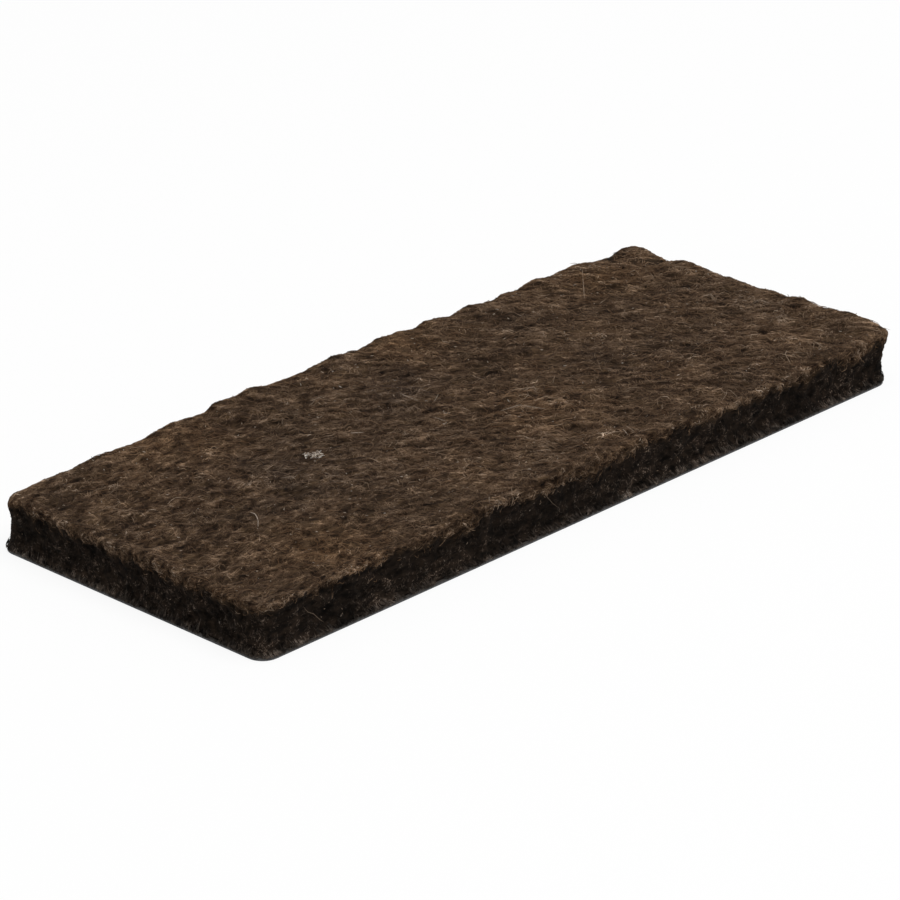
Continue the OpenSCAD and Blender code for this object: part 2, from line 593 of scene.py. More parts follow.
@dataclass
class FeltBlock:
    """The block of needle-punched felt, flat at its foot and uneven everywhere else."""

    CUT = "cut_wall"
    FACE_GROUP = "uneven"
    RIM_GROUP = "rim"

    corner_radius: float = 1.9 * MM
    corner_steps: int = 6
    soft_edge: float = 0.5 * MM
    soft_steps: int = 3
    voxel: float = 0.27 * MM
    foot_band: float = 0.8 * MM
    waist: float = 0.3 * MM
    end_fall: float = 0.3 * MM
    rim_reach: float = 4.0 * MM
    rim_power: float = 1.5
    lip: float = 0.55 * MM
    lip_reach: float = 5.0 * MM
    hang: float = 1.9 * MM
    hang_length: float = 4.5 * MM
    hang_ripple: float = 1.3 * MM
    hang_mean: float = 0.33
    hang_wave: float = 0.75
    hang_jag: float = 0.6
    edge_radius: float = 2.0 * MM
    calm_reach: float = 3.0 * MM
    calm_least: float = 0.35
    weight_steps: int = 20
    grain_turn: float = math.radians(-30.0)
    grain_swing: float = math.radians(24.0)
    low: Vector = field(default_factory=lambda: Vector(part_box("felt_pad")[0]))
    high: Vector = field(default_factory=lambda: Vector(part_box("felt_pad")[1]))

    def build(self) -> bpy.types.Object:
        """Model the block down to its lumps.

        Returns:
            The felt block, not yet tufted.
        """
        size = self.high - self.low
        bpy.ops.object.select_all(action="DESELECT")
        bpy.ops.mesh.primitive_cube_add(size=1, location=(self.low + self.high) / 2, scale=size)
        felt = bpy.context.object
        felt.name = "felt_block"
        felt.data.name = "felt_block"
        bpy.ops.object.transform_apply(location=True, rotation=True, scale=True)
        self.bevel(felt, self.is_upright, self.corner_radius, self.corner_steps)
        self.bevel(felt, self.is_rim, self.soft_edge, self.soft_steps)
        self.even_out(felt)
        self.draw_in(felt)
        self.raise_far_rim(felt)
        self.close_foot(felt)
        self.mark_groups(felt)
        Relief(
            "Rim scallops", grain=(8.0 * MM, 8.0 * MM, 30.0 * MM), depth=2.2 * MM, middle=0.45,
            group=self.RIM_GROUP, detail=1, direction="Z",
        ).press(felt)
        Relief(
            "Face lumps", grain=(9.0 * MM, 6.0 * MM, 6.0 * MM), depth=0.8 * MM, middle=0.5,
            group=self.FACE_GROUP, turn=self.grain_turn,
        ).press(felt)
        return felt

    def tuft(self, felt: bpy.types.Object) -> None:
        """Raise the tufts and sink the small pits between them.

        Args:
            felt: The felt block.
        """
        Relief(
            "Tufts", grain=(3.0 * MM, 1.4 * MM, 1.4 * MM), depth=0.9 * MM, middle=0.53,
            group=self.FACE_GROUP, turn=self.grain_turn,
        ).press(felt)
        Relief(
            "Pits", grain=(1.5 * MM, 0.75 * MM, 0.75 * MM), depth=0.8 * MM, middle=0.57,
            group=self.FACE_GROUP, turn=self.grain_turn,
        ).press(felt)
        only(felt)
        bpy.ops.object.shade_smooth()

    def is_upright(self, edge: bmesh.types.BMEdge) -> bool:
        """Tell whether an edge stands upright."""
        first, second = (vertex.co for vertex in edge.verts)
        return abs(first.z - second.z) > self.soft_edge

    def is_rim(self, edge: bmesh.types.BMEdge) -> bool:
        """Tell whether an edge bounds the gliding face."""
        return all(vertex.co.z > self.high.z - self.soft_edge / 2 for vertex in edge.verts)

    @staticmethod
    def bevel(
        felt: bpy.types.Object, wanted: Callable[[bmesh.types.BMEdge], bool], width: float, steps: int
    ) -> None:
        """Round the chosen edges.

        Args:
            felt: The felt block.
            wanted: Test that picks the edges.
            width: Width of the rounding.
            steps: Facets across the rounding.
        """
        only(felt)
        bpy.ops.object.mode_set(mode="EDIT")
        bpy.ops.mesh.select_mode(type="EDGE")
        bpy.ops.mesh.select_all(action="DESELECT")
        edit = bmesh.from_edit_mesh(felt.data)
        for edge in edit.edges:
            edge.select_set(wanted(edge))
        bmesh.update_edit_mesh(felt.data)
        bpy.ops.mesh.bevel(offset=width, segments=steps, affect="EDGES")
        bpy.ops.object.mode_set(mode="OBJECT")

    def even_out(self, felt: bpy.types.Object) -> None:
        """Cover the block with small even faces.

        Args:
            felt: The felt block.
        """
        only(felt)
        change = felt.modifiers.new("Even faces", "REMESH")
        change.mode = "VOXEL"
        change.voxel_size = self.voxel
        bpy.ops.object.modifier_apply(modifier=change.name)

    def draw_in(self, felt: bpy.types.Object) -> None:
        """Draw the wall in at half height, let the two ends fall a little and flatten the foot.

        Args:
            felt: The felt block.
        """
        places = self.places(felt)
        size = np.array(self.high - self.low)
        rise = np.clip((places[:, 2] - self.low.z) / size[2], 0, 1)
        inset = self.waist * np.sin(np.pi * rise)
        places[:, :2] *= 1 - 2 * inset[:, None] / size[:2]
        places[:, 2] -= self.end_fall * rise * (2 * places[:, 0] / size[0]) ** 2
        places[rise < self.voxel / 2 / size[2], 2] = self.low.z
        felt.data.vertices.foreach_set("co", places.ravel())

    def raise_far_rim(self, felt: bpy.types.Object) -> None:
        """Give the far side and end their lumps and dips, and push out the lip of the corner at +X, -Y.

        Args:
            felt: The felt block.
        """
        places = self.places(felt)
        rise = np.clip((places[:, 2] - self.low.z) / (self.high.z - self.low.z), 0, 1)
        heights = np.zeros(len(places))
        shares = np.zeros(len(places))
        for along, across, rim in ((0, 1, FAR_SIDE_RIM), (1, 0, FAR_END_RIM)):
            stations, lumps = MM * np.array(sorted(rim)).T
            near = np.exp(-(((self.high[across] - places[:, across]) / self.rim_reach) ** 2))
            heights += near * np.interp(places[:, along], stations, lumps)
            shares += near
        places[:, 2] += rise * heights / np.maximum(shares, 1)
        from_corner = np.hypot(places[:, 0] - self.high.x, places[:, 1] - self.low.y)
        push = self.lip * rise * np.exp(-((from_corner / self.lip_reach) ** 2))
        places[:, 0] += push
        places[:, 1] -= push
        felt.data.vertices.foreach_set("co", places.ravel())

    def close_foot(self, felt: bpy.types.Object) -> None:
        """Join the faces of the flat foot, which lies on the tape.

        Args:
            felt: The felt block.
        """
        only(felt)
        bpy.ops.object.mode_set(mode="EDIT")
        bpy.ops.mesh.select_mode(type="FACE")
        bpy.ops.mesh.select_all(action="DESELECT")
        edit = bmesh.from_edit_mesh(felt.data)
        for face in edit.faces:
            face.select_set(all(vertex.co.z < self.low.z + self.voxel / 2 for vertex in face.verts))
        bmesh.update_edit_mesh(felt.data)
        bpy.ops.mesh.delete(type="FACE")
        bpy.ops.mesh.select_mode(type="EDGE")
        bpy.ops.mesh.select_non_manifold()
        bpy.ops.mesh.edge_face_add()
        bpy.ops.object.mode_set(mode="OBJECT")

    def mark_groups(self, felt: bpy.types.Object) -> None:
        """Weight the vertices for the relief and mark the cut wall for the finish.

        Args:
            felt: The felt block.
        """
        places = self.places(felt)
        size = np.array(self.high - self.low)
        above = places[:, 2] - self.low.z
        from_edge = (places[:, :2] - np.array(self.low)[:2]).min(axis=1)
        uneven = np.clip(above / self.foot_band, 0, 1) * self.calm(places)
        near_edge = np.clip(2 - from_edge / (2 * self.soft_edge), 0, 1)
        rim = np.clip(above / size[2], 0, 1) ** self.rim_power * near_edge
        for name, weights in ((self.FACE_GROUP, uneven), (self.RIM_GROUP, rim)):
            group = felt.vertex_groups.new(name=name)
            steps = np.round(weights * self.weight_steps).astype(int)
            for step in range(1, self.weight_steps + 1):
                members = np.flatnonzero(steps == step)
                group.add(members.tolist(), step / self.weight_steps, "REPLACE")
        lines = np.array([self.hang_line(Vector(place)) for place in places])
        mark = felt.data.attributes.new(self.CUT, "FLOAT", "POINT")
        mark.data.foreach_set("value", np.clip((lines - places[:, 2]) / (2 * self.soft_edge) + 0.5, 0, 1))

    @staticmethod
    def places(felt: bpy.types.Object) -> np.ndarray:
        """Read where the vertices are.

        Args:
            felt: The felt block.

        Returns:
            The places, one row each.
        """
        flat = np.empty(3 * len(felt.data.vertices))
        felt.data.vertices.foreach_get("co", flat)
        return flat.reshape(-1, 3)

    def hang_line(self, place: Vector) -> float:
        """Find how low the face's wool hangs near a place, where it ends in an irregular line.

        Args:
            place: A place on the rim or near it.

        Returns:
            The height at which brown wool gives way to the dark cut wall.
        """
        plan = Vector((place.x, place.y, 0))
        wave = self.hang_wave * noise.noise(plan / self.hang_length)
        jag = self.hang_jag * noise.noise(plan / self.hang_ripple)
        swell = self.hang_mean + wave + jag
        return self.rim_height(place) - self.hang * min(max(swell, 0), 1)

    def rim_height(self, place: Vector) -> float:
        """Find the height at which the gliding face turns down into the wall."""
        return self.high.z - self.end_fall * (place.x / self.high.x) ** 2 - self.soft_edge / 2

    def edge_gap(self, place: Vector) -> float:
        """Measure how far a place stands in from the tape's die-cut edge.

        Args:
            place: A place near the foot of the wall.

        Returns:
            The distance in plan.
        """
        reach = [abs(place[axis]) - CAD_BOX[1][axis] + self.edge_radius for axis in (0, 1)]
        return self.edge_radius - math.hypot(max(reach[0], 0), max(reach[1], 0)) - min(max(reach), 0)

    def edge_point(self, share: float) -> tuple[Vector, Vector]:
        """Find a place on the felt's own outline.

        Args:
            share: How far round the outline, from 0 to 1.

        Returns:
            The place, at height zero, and the outward direction there.
        """
        half = (self.high - self.low) / 2
        run = share * 4 * (half.x + half.y)
        if run < 4 * half.x:
            out = Vector((0, -1 if run < 2 * half.x else 1, 0))
            edge = Vector((run % (2 * half.x) - half.x, out.y * half.y, 0))
        else:
            run -= 4 * half.x
            out = Vector((-1 if run < 2 * half.y else 1, 0, 0))
            edge = Vector((out.x * half.x, run % (2 * half.y) - half.y, 0))
        inner = half - Vector((self.corner_radius, self.corner_radius, half.z))
        if abs(edge.x) > inner.x and abs(edge.y) > inner.y:
            pivot = Vector((math.copysign(inner.x, edge.x), math.copysign(inner.y, edge.y), 0))
            out = (edge - pivot).normalized()
            edge = pivot + out * self.corner_radius
        return edge, out

    def calm(self, places: np.ndarray) -> np.ndarray:
        """Find how rough the felt is at some places: less at the far side and the far end, which are smooth.

        Args:
            places: The places, one row each.

        Returns:
            A share for each place, up to one.
        """
        from_far = (np.array(self.high)[:2] - places[:, :2]).min(axis=1)
        return np.clip(from_far / self.calm_reach, self.calm_least, 1)

    def dress(self, felt: bpy.types.Object, finish: bpy.types.Material) -> None:
        """Give the block its finish and its place in the frame.

        Args:
            felt: The felt block.
            finish: Its material.
        """
        felt.data.materials.append(finish)
        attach(felt, "pad")
        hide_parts("felt_pad")


class FeltSurface:
    """The felt's uneven outside, along which fibres are laid."""

    CLEAR = 5 * MM

    def __init__(self, felt: bpy.types.Object, foot: float) -> None:
        """Take a copy of the felt's faces above its foot, as they are now.

        Args:
            felt: The felt block.
            foot: Height of its foot.
        """
        mesh = felt.data
        corners = [vertex.co.copy() for vertex in mesh.vertices]
        faces = [tuple(face.vertices) for face in mesh.polygons if face.center.z > foot]
        self.tree = BVHTree.FromPolygons(corners, faces)

    def height_of(self, place: Vector) -> float:
        """Measure how far a place stands out from this surface, below zero inside it."""
        near, up = self.tree.find_nearest(place)[:2]
        return (place - near).dot(up)

    def top(self, place: Vector) -> float:
        """Find the height of the gliding face over or under a place."""
        return self.tree.ray_cast(place + UP * self.CLEAR, -UP)[0].z

    def drop(self, start: Vector) -> Vector:
        """Find the nearest place on the felt."""
        return self.tree.find_nearest(start)[0]

    def lay(
        self, start: Vector, heading: Vector, stride: float, turns: np.ndarray
    ) -> tuple[list[Vector], list[Vector]]:
        """Walk over the felt from a starting point.

        Args:
            start: A point near the felt, which drops to the nearest place on it.
            heading: The way to set off.
            stride: Length of one step.
            turns: Turn before each step, in radians.

        Returns:
            The places walked through, and the felt's outward direction at each.
        """
        place, up = self.tree.find_nearest(start)[:2]
        places = [place]
        ups = [up]
        for turn in turns:
            ahead = (heading - up * heading.dot(up)).normalized()
            heading = ahead * math.cos(turn) + up.cross(ahead) * math.sin(turn)
            place, up = self.tree.find_nearest(place + heading * stride)[:2]
            places.append(place)
            ups.append(up)
        return places, ups


class FibreBundle:
    """Many thin closed tubes that become one mesh, each with its own tone and its own cell of the UV map."""

    TONE = "fibre_tone"
    WARMTH = "fibre_warmth"
    SIDES = 3
    TIP = 0.3
    TAPER_POWER = 0.5
    CELL_MARGIN = 0.12
    SURFACE_SHARE = 0.85
    LEAST_LENGTH = 1e-12

    def __init__(self, name: str) -> None:
        """Start an empty bundle."""
        self.name = name
        self.paths: list[list[Vector]] = []
        self.ups: list[list[Vector]] = []
        self.radii: list[float] = []
        self.tones: list[float] = []
        self.warmths: list[float] = []

    def add(self, path: list[Vector], ups: list[Vector], radius: float, tone: float, warmth: float) -> None:
        """Add one fibre.

        Args:
            path: Places along the fibre.
            ups: The felt's outward direction at each place.
            radius: Half the fibre's thickness.
            tone: Lightness, from 0 to 1.
            warmth: From 0, grey, to 1, warm brown.
        """
        self.paths.append(path)
        self.ups.append(ups)
        self.radii.append(radius)
        self.tones.append(tone)
        self.warmths.append(warmth)

    @classmethod
    def unit(cls, vectors: np.ndarray) -> np.ndarray:
        """Bring vectors to a length of one."""
        return vectors / (np.linalg.norm(vectors, axis=-1, keepdims=True) + cls.LEAST_LENGTH)

    def rings(self) -> np.ndarray:
        """Work out the corners of every tube.

        Returns:
            Places by fibre, ring and side.
        """
        path = np.array(self.paths)
        along = self.unit(np.gradient(path, axis=1))
        side = self.unit(np.cross(along, np.array(self.ups)))
        rise = np.cross(side, along)
        share = np.linspace(0, 1, path.shape[1])
        taper = self.TIP + (1 - self.TIP) * np.sin(np.pi * share) ** self.TAPER_POWER
        width = (np.array(self.radii)[:, None] * taper)[:, :, None, None]
        angle = np.radians(90 + np.arange(self.SIDES) * 360 / self.SIDES)[:, None]
        outward = side[:, :, None] * np.cos(angle) + rise[:, :, None] * np.sin(angle)
        return path[:, :, None] + width * outward

    def pattern(self, ring_count: int) -> tuple[np.ndarray, np.ndarray, np.ndarray]:
        """Work out the faces of one tube.

        Args:
            ring_count: Rings along the tube.

        Returns:
            Corner numbers of all its faces in a row, where each face starts, and a UV place for each corner.
        """
        sides = self.SIDES
        corners: list[int] = []
        cells: list[Span] = []
        starts: list[int] = []
        for ring in range(ring_count - 1):
            for side in range(sides):
                starts.append(len(corners))
                for down, across in ((0, 0), (1, 0), (1, 1), (0, 1)):
                    corners.append((ring + down) * sides + (side + across) % sides)
                    cells.append(((side + across) / sides, (ring + down) / (ring_count - 1)))
        last = (ring_count - 1) * sides
        for first, order in ((0, range(sides)), (last, reversed(range(sides)))):
            starts.append(len(corners))
            for side in order:
                corners.append(first + side)
                cells.append((side / sides, float(first > 0)))
        return np.array(corners), np.array(starts), np.array(cells)

    def normals(self, rings: np.ndarray) -> np.ndarray:
        """Turn the tubes' normals towards the felt's, so that the fibres shade as one soft surface.

        Args:
            rings: Corners of every tube.

        Returns:
            One normal for each corner.
        """
        outward = self.unit(rings - np.array(self.paths)[:, :, None])
        surface = np.array(self.ups)[:, :, None]
        blended = (1 - self.SURFACE_SHARE) * outward + self.SURFACE_SHARE * surface
        return self.unit(blended).reshape(-1, 3)

    def mesh(self) -> bpy.types.Object:
        """Turn the bundle into one object.

        Returns:
            The object, at the origin, with its place in its mesh.
        """
        rings = self.rings()
        fibre_count, ring_count, sides = rings.shape[:3]
        per_fibre = ring_count * sides
        corners, starts, cells = self.pattern(ring_count)
        number = np.arange(fibre_count)[:, None]
        mesh = bpy.data.meshes.new(self.name)
        mesh.vertices.add(fibre_count * per_fibre)
        mesh.vertices.foreach_set("co", rings.ravel())
        mesh.loops.add(fibre_count * len(corners))
        mesh.loops.foreach_set("vertex_index", (corners + number * per_fibre).ravel())
        mesh.polygons.add(fibre_count * len(starts))
        mesh.polygons.foreach_set("loop_start", (starts + number * len(corners)).ravel())
        mesh.update(calc_edges=True)
        per_row = math.ceil(math.sqrt(fibre_count))
        home = np.column_stack([number % per_row, number // per_row])[:, None]
        inner = self.CELL_MARGIN + (1 - 2 * self.CELL_MARGIN) * cells
        chart = mesh.uv_layers.new(name="OFBake")
        chart.uv.foreach_set("vector", ((home + inner) / per_row).ravel())
        for name, values in ((self.TONE, self.tones), (self.WARMTH, self.warmths)):
            mark = mesh.attributes.new(name, "FLOAT", "POINT")
            mark.data.foreach_set("value", np.repeat(np.array(values), per_fibre))
        mesh.shade_smooth()
        mesh.normals_split_custom_set_from_vertices(self.normals(rings))
        fibres = bpy.data.objects.new(self.name, mesh)
        bpy.context.collection.objects.link(fibres)
        return fibres


class Zone(Enum):
    """Where on the felt a layer of fibres lies."""

    FACE = "gliding face"
    RIM = "upper rim, hanging over"
    FOOT = "foot of the wall, over the tape's edge"
    WALL = "cut wall"

    @property
    def is_low(self) -> bool:
        """Tell whether the zone lies under the wool that hangs from the rim."""
        return self in (Zone.FOOT, Zone.WALL)


@dataclass(frozen=True)
class Patch:
    """A larger patch of the face whose wool is lighter or darker, warmer or greyer than the rest."""

    x: float
    y: float
    reach: float
    tone: float
    warmth: float

    def share(self, place: Vector) -> float:
        """Find how much of the patch's change a place takes."""
        apart = math.hypot(place.x - self.x, place.y - self.y)
        return math.exp(-((apart / self.reach) ** 2))


@dataclass
class NapLayer:
    """One layer of fibres over the felt, laid in narrow locks that share a direction and a tone."""

    name: str
    zone: Zone
    locks: int
    per_lock: int
    seed: int
    length: Span
    radius: Span
    lift: Span
    tone: Span
    warmth: Span
    wool: Wool = Wool.NAP
    lock_length: float = 0.7 * MM
    lock_width: float = 0.3 * MM
    lock_turn: float = math.radians(40)
    fibre_turn: float = math.radians(22)
    curl: float = 0.4
    tuck: float = 0.07 * MM
    stand: float = 0.0
    order: float = 0.35
    strays: float = 0.02
    # Painted shade and light by height: locks sunk below the untufted felt are darker, raised ones lighter.
    height_painted_shade: float = 1.1 / MM
    fibre_tone: float = 0.03
    # Painted light bounced from the floor onto the foot of the wall, along with pale lint there.
    foot_painted_light_tone: float = 0.18
    foot_reach: float = 1.2 * MM
    # Painted shadow under the wool that hangs over from the rim.
    overhang_painted_shadow: float = 0.14
    rim_reach: float = 1.6 * MM
    rim_warmth: float = 0.3
    # Painted shade where the rim turns down into the side.
    lip_painted_shade: float = 0.3
    hang_end: Span = (0.21 * MM, 0.42 * MM)
    hang_clear: Span = (0.06 * MM, 0.13 * MM)
    steps: int = 3

    def build(self, block: FeltBlock, surface: FeltSurface, untufted: FeltSurface) -> bpy.types.Object:
        """Lay the fibres.

        Args:
            block: The felt's sizes.
            surface: The tufted felt that they lie on.
            untufted: The felt before tufting, from which heights are counted.

        Returns:
            All the layer's fibres as one object.
        """
        draw = np.random.default_rng(self.seed)
        bundle = FibreBundle(self.name)
        for _ in range(self.locks):
            middle, heading = self.settle(block, draw)
            middle = surface.drop(middle)
            tint = self.tint(block, middle, untufted.height_of(middle), draw)
            bend = draw.normal(0, self.curl)
            across = heading.cross(UP) if self.zone is Zone.FACE else UP
            for _ in range(self.per_lock):
                along = heading * draw.normal(0, self.lock_length)
                start = middle + along + across * draw.normal(0, self.lock_width)
                ahead = self.turned(heading, draw.normal(0, self.fibre_turn))
                stride = draw.uniform(*self.length) / self.steps
                turns = bend + draw.normal(0, self.curl, self.steps)
                places, ups = surface.lay(start - ahead * stride * self.steps / 2, ahead, stride, turns)
                if self.zone is Zone.FOOT:
                    path = self.hang_over(block, places, ups, draw)
                else:
                    loft = block.calm(np.array(places[:1]))[0] * self.looseness(block, middle)
                    path = self.raise_off(places, ups, draw, loft)
                radius = draw.uniform(*self.radius)
                shades = np.clip(tint + draw.normal(0, self.fibre_tone, 2), 0, 1)
                if self.zone.is_low or draw.uniform() < self.strays or self.stays_up(places, block):
                    bundle.add(path, ups, radius, *shades)
        return bundle.mesh()

    def settle(self, block: FeltBlock, draw: np.random.Generator) -> tuple[Vector, Vector]:
        """Choose where a lock lies and which way it runs.

        Args:
            block: The felt's sizes.
            draw: The layer's random numbers.

        Returns:
            The lock's middle and its heading.
        """
        low, high = block.low, block.high
        if self.zone is Zone.FACE:
            middle = Vector((draw.uniform(low.x, high.x), draw.uniform(low.y, high.y), high.z))
            spread = self.lock_turn * self.looseness(block, middle)
            angle = block.grain_turn - block.grain_swing * middle.x / high.x + draw.normal(0, spread)
            return middle, Vector((math.cos(angle), math.sin(angle), 0))
        edge, out = block.edge_point(draw.uniform())
        along = Vector((-out.y, out.x, 0))
        if self.zone is Zone.RIM:
            height = draw.uniform(block.hang_line(edge), high.z)
            angle = draw.normal(-math.pi / 2, self.lock_turn)
        elif self.zone is Zone.FOOT:
            height = draw.uniform(low.z, low.z + block.foot_band)
            angle = draw.normal(0, self.lock_turn)
        else:
            height = draw.uniform(low.z, block.hang_line(edge) + block.soft_edge)
            angle = draw.uniform(0, math.tau)
        return edge + UP * height, along * math.cos(angle) + UP * math.sin(angle)

    def tint(
        self, block: FeltBlock, middle: Vector, height: float, draw: np.random.Generator
    ) -> tuple[float, float]:
        """Choose a lock's tone and warmth.

        Args:
            block: The felt's sizes.
            middle: The lock's middle.
            height: How far it stands out from the untufted felt.
            draw: The layer's random numbers.

        Returns:
            The tone and the warmth, not yet kept between 0 and 1.
        """
        # Painted shade and light by height over the untufted felt.
        tone = draw.normal(*self.tone) + self.height_painted_shade * height
        warmth = draw.normal(*self.warmth)
        if self.zone.is_low:
            near_rim = max(0, 1 - (block.hang_line(middle) - middle.z) / self.rim_reach)
            # Lighter towards the foot: painted bounce light from the floor, along with pale lint.
            tone += self.foot_painted_light_tone * max(0, 1 - (middle.z - block.low.z) / self.foot_reach)
            # Painted shadow of the overhanging rim wool, darkest just below the hang line.
            tone -= self.overhang_painted_shadow * near_rim
            warmth += self.rim_warmth * near_rim
            return tone, warmth
        if self.zone is Zone.RIM:
            # Painted shade: rim fibres darken the further they hang below the top of the rim.
            tone -= self.lip_painted_shade * min(max(0, block.rim_height(middle) - middle.z) / block.hang, 1)
        tone += sum(patch.tone * patch.share(middle) for patch in PATCHES)
        warmth += sum(patch.warmth * patch.share(middle) for patch in PATCHES)
        return tone, warmth

    @staticmethod
    def turned(heading: Vector, angle: float) -> Vector:
        """Turn a heading in plan."""
        cos, sin = math.cos(angle), math.sin(angle)
        return Vector((heading.x * cos - heading.y * sin, heading.x * sin + heading.y * cos, heading.z))

    @staticmethod
    def stays_up(places: list[Vector], block: FeltBlock) -> bool:
        """Tell whether a fibre ends before the line where the cut wall starts."""
        lowest = min(places, key=lambda place: place.z)
        return lowest.z > block.hang_line(lowest)

    def looseness(self, block: FeltBlock, place: Vector) -> float:
        """Find how loosely the fibres lie at a place: they are neater towards -X and wilder towards +X."""
        return 1 + self.order * place.x / block.high.x

    def hang_over(
        self, block: FeltBlock, places: list[Vector], ups: list[Vector], draw: np.random.Generator
    ) -> list[Vector]:
        """Hang a fibre from the felt's foot out over the edge of the tape, clear of the liner.

        Args:
            block: The felt's sizes.
            places: Places on the felt, the first of which is the fibre's root.
            ups: The felt's outward direction at each.
            draw: The layer's random numbers.

        Returns:
            The fibre's path.
        """
        clear = draw.uniform(*self.hang_clear)
        end = draw.uniform(*self.hang_end)
        path = []
        for share, place, up in zip(np.linspace(0, 1, len(places)), places, ups):
            out = Vector((up.x, up.y, 0)).normalized()
            reach = min(2 * share, 1) * (block.edge_gap(place) + clear) - self.tuck * (1 - share)
            height = places[0].z + share * (end - places[0].z)
            path.append(Vector((place.x, place.y, 0)) + out * reach + UP * height)
        return path

    def raise_off(
        self, places: list[Vector], ups: list[Vector], draw: np.random.Generator, loft: float
    ) -> list[Vector]:
        """Lift a fibre off the felt, with its two ends mostly tucked in.

        Args:
            places: Places on the felt.
            ups: The felt's outward direction at each.
            draw: The layer's random numbers.
            loft: Share of the usual height that fibres have here.

        Returns:
            The fibre's path.
        """
        body = loft * draw.uniform(*self.lift)
        ends = loft * draw.normal(-self.tuck, self.tuck + self.stand, 2)
        shares = np.linspace(0, 1, len(places))
        heights = body * np.sin(np.pi * shares) + ends[0] * (1 - shares) ** 2 + ends[1] * shares ** 2
        return [place + up * height for place, up, height in zip(places, ups, heights)]


@dataclass(frozen=True)
class Thread:
    """One loose thread over the felt, in millimetres, with heights where it hangs down a wall."""

    FACE_TOP = 6.1

    places: tuple[Span, ...]
    radius: float
    tone: float
    warmth: float = 0.5
    lift: float = 0.2 * MM
    heights: tuple[float, ...] = ()

    def path(self, surface: FeltSurface, steps: int) -> tuple[list[Vector], list[Vector]]:
        """Lay the thread over the felt.

        Args:
            surface: The felt that it lies on.
            steps: Into how many steps it is cut.

        Returns:
            Places along the thread, and the felt's outward direction at each.
        """
        heights = self.heights or (self.FACE_TOP,) * len(self.places)
        corners = np.column_stack([self.places, heights]) * MM
        shares = np.linspace(0, 1, len(corners))
        wanted = np.linspace(0, 1, steps + 1)
        points = np.column_stack([np.interp(wanted, shares, corners[:, axis]) for axis in range(3)])
        if self.heights:
            feet = [surface.tree.find_nearest(Vector(point))[:2] for point in points]
            return [foot + up * self.lift for foot, up in feet], [up for _, up in feet]
        tops = [surface.top(Vector(point)) for point in points]
        points[:, 2] = (max(tops) + sum(tops) / len(tops)) / 2 + self.lift
        return [Vector(point) for point in points], [UP] * len(points)


@dataclass(frozen=True)
class LintKind:
    """One kind of pale fibre: range of lengths, half thickness, greatest height, tones and curl."""

    length: Span
    radius: float
    lift: float
    tone: Span
    curl: float = 0.35


@dataclass
class PaleLint:
    """Pale bits caught in the felt: a smear of lint, a few threads and many specks, which are partly pale
    flecks of fibre and partly painted glints on the nap.
    """

    name: str = "felt_pale_lint"
    seed: int = 31
    steps: int = 4
    root_height: float = 0.3
    smear_place: Span = (-19.25 * MM, 3.72 * MM)
    smear_reach: float = 0.88 * MM
    smear_width: float = 0.22 * MM
    smear_heading: float = math.radians(-62)
    smear_spread: float = 0.7
    smear_fibres: int = 60
    smear_kind: LintKind = LintKind((0.5 * MM, 1.0 * MM), 0.045 * MM, 0.25 * MM, (0.4, 0.95), curl=1.2)
    # The face specks are partly pale flecks of fibre and partly painted glints on the nap.
    specks: int = 600
    speck_and_glint_kind: LintKind = LintKind((0.15 * MM, 0.5 * MM), 0.048 * MM, 0.1 * MM, (0.05, 0.5))
    wall_specks: int = 90
    wall_kind: LintKind = LintKind((0.1 * MM, 0.3 * MM), 0.05 * MM, 0.1 * MM, (0.0, 0.2))

    def build(self, block: FeltBlock, surface: FeltSurface) -> bpy.types.Object:
        """Lay the pale bits.

        Args:
            block: The felt's sizes.
            surface: The felt that they lie on.

        Returns:
            All of them as one object.
        """
        draw = np.random.default_rng(self.seed)
        bundle = FibreBundle(self.name)
        low, high = block.low, block.high
        along = Vector((math.cos(self.smear_heading), math.sin(self.smear_heading), 0))
        across = Vector((-along.y, along.x, 0))
        for _ in range(self.smear_fibres):
            offset = along * draw.uniform(-1, 1) * self.smear_reach
            offset += across * draw.normal(0, self.smear_width)
            angle = draw.normal(self.smear_heading, self.smear_spread)
            place = Vector((*self.smear_place, high.z)) + offset
            self.lay(bundle, surface, place, angle, self.smear_kind, draw)
        # Specks over the face: pale flecks of fibre and painted glints.
        for _ in range(self.specks):
            angle = draw.uniform(0, math.tau)
            place = Vector((draw.uniform(low.x, high.x), draw.uniform(low.y, high.y), high.z))
            self.lay(bundle, surface, place, angle, self.speck_and_glint_kind, draw)
        for _ in range(self.wall_specks):
            edge = block.edge_point(draw.uniform())[0]
            place = edge + UP * draw.uniform(low.z + block.foot_band, high.z - block.hang)
            angle = draw.uniform(0, math.tau)
            self.lay(bundle, surface, place, angle, self.wall_kind, draw)
        for thread in THREADS:
            places, ups = thread.path(surface, self.steps)
            bundle.add(places, ups, thread.radius, thread.tone, thread.warmth)
        return bundle.mesh()

    def lay(
        self, bundle: FibreBundle, surface: FeltSurface, start: Vector, angle: float, kind: LintKind,
        draw: np.random.Generator,
    ) -> None:
        """Lay one pale fibre.

        Args:
            bundle: The bundle that it goes into.
            surface: The felt that it lies on.
            start: Where it starts.
            angle: Its heading in plan, in radians.
            kind: Its sizes, tones and curl.
            draw: The random numbers.
        """
        heading = Vector((math.cos(angle), math.sin(angle), 0))
        stride = draw.uniform(*kind.length) / self.steps
        places, ups = surface.lay(start, heading, stride, draw.normal(0, kind.curl, self.steps))
        heights = draw.uniform(0, kind.lift) * np.linspace(self.root_height, 1, self.steps + 1)
        path = [place + up * height for place, up, height in zip(places, ups, heights)]
        bundle.add(path, ups, kind.radius, draw.uniform(*kind.tone), draw.uniform())


@dataclass(frozen=True)
class LayerFinish:
    """A kept layer of the laminate and the finish that it takes."""

    node: str
    finish: SheetFinish

    def dress(self) -> None:
        """Put the finish on the layer."""
        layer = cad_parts[self.node]
        material = self.finish.build()
        for place in layer.material_slots:
            place.material = material
        LOG.info("%s: dressed in %s", self.node, material.name)


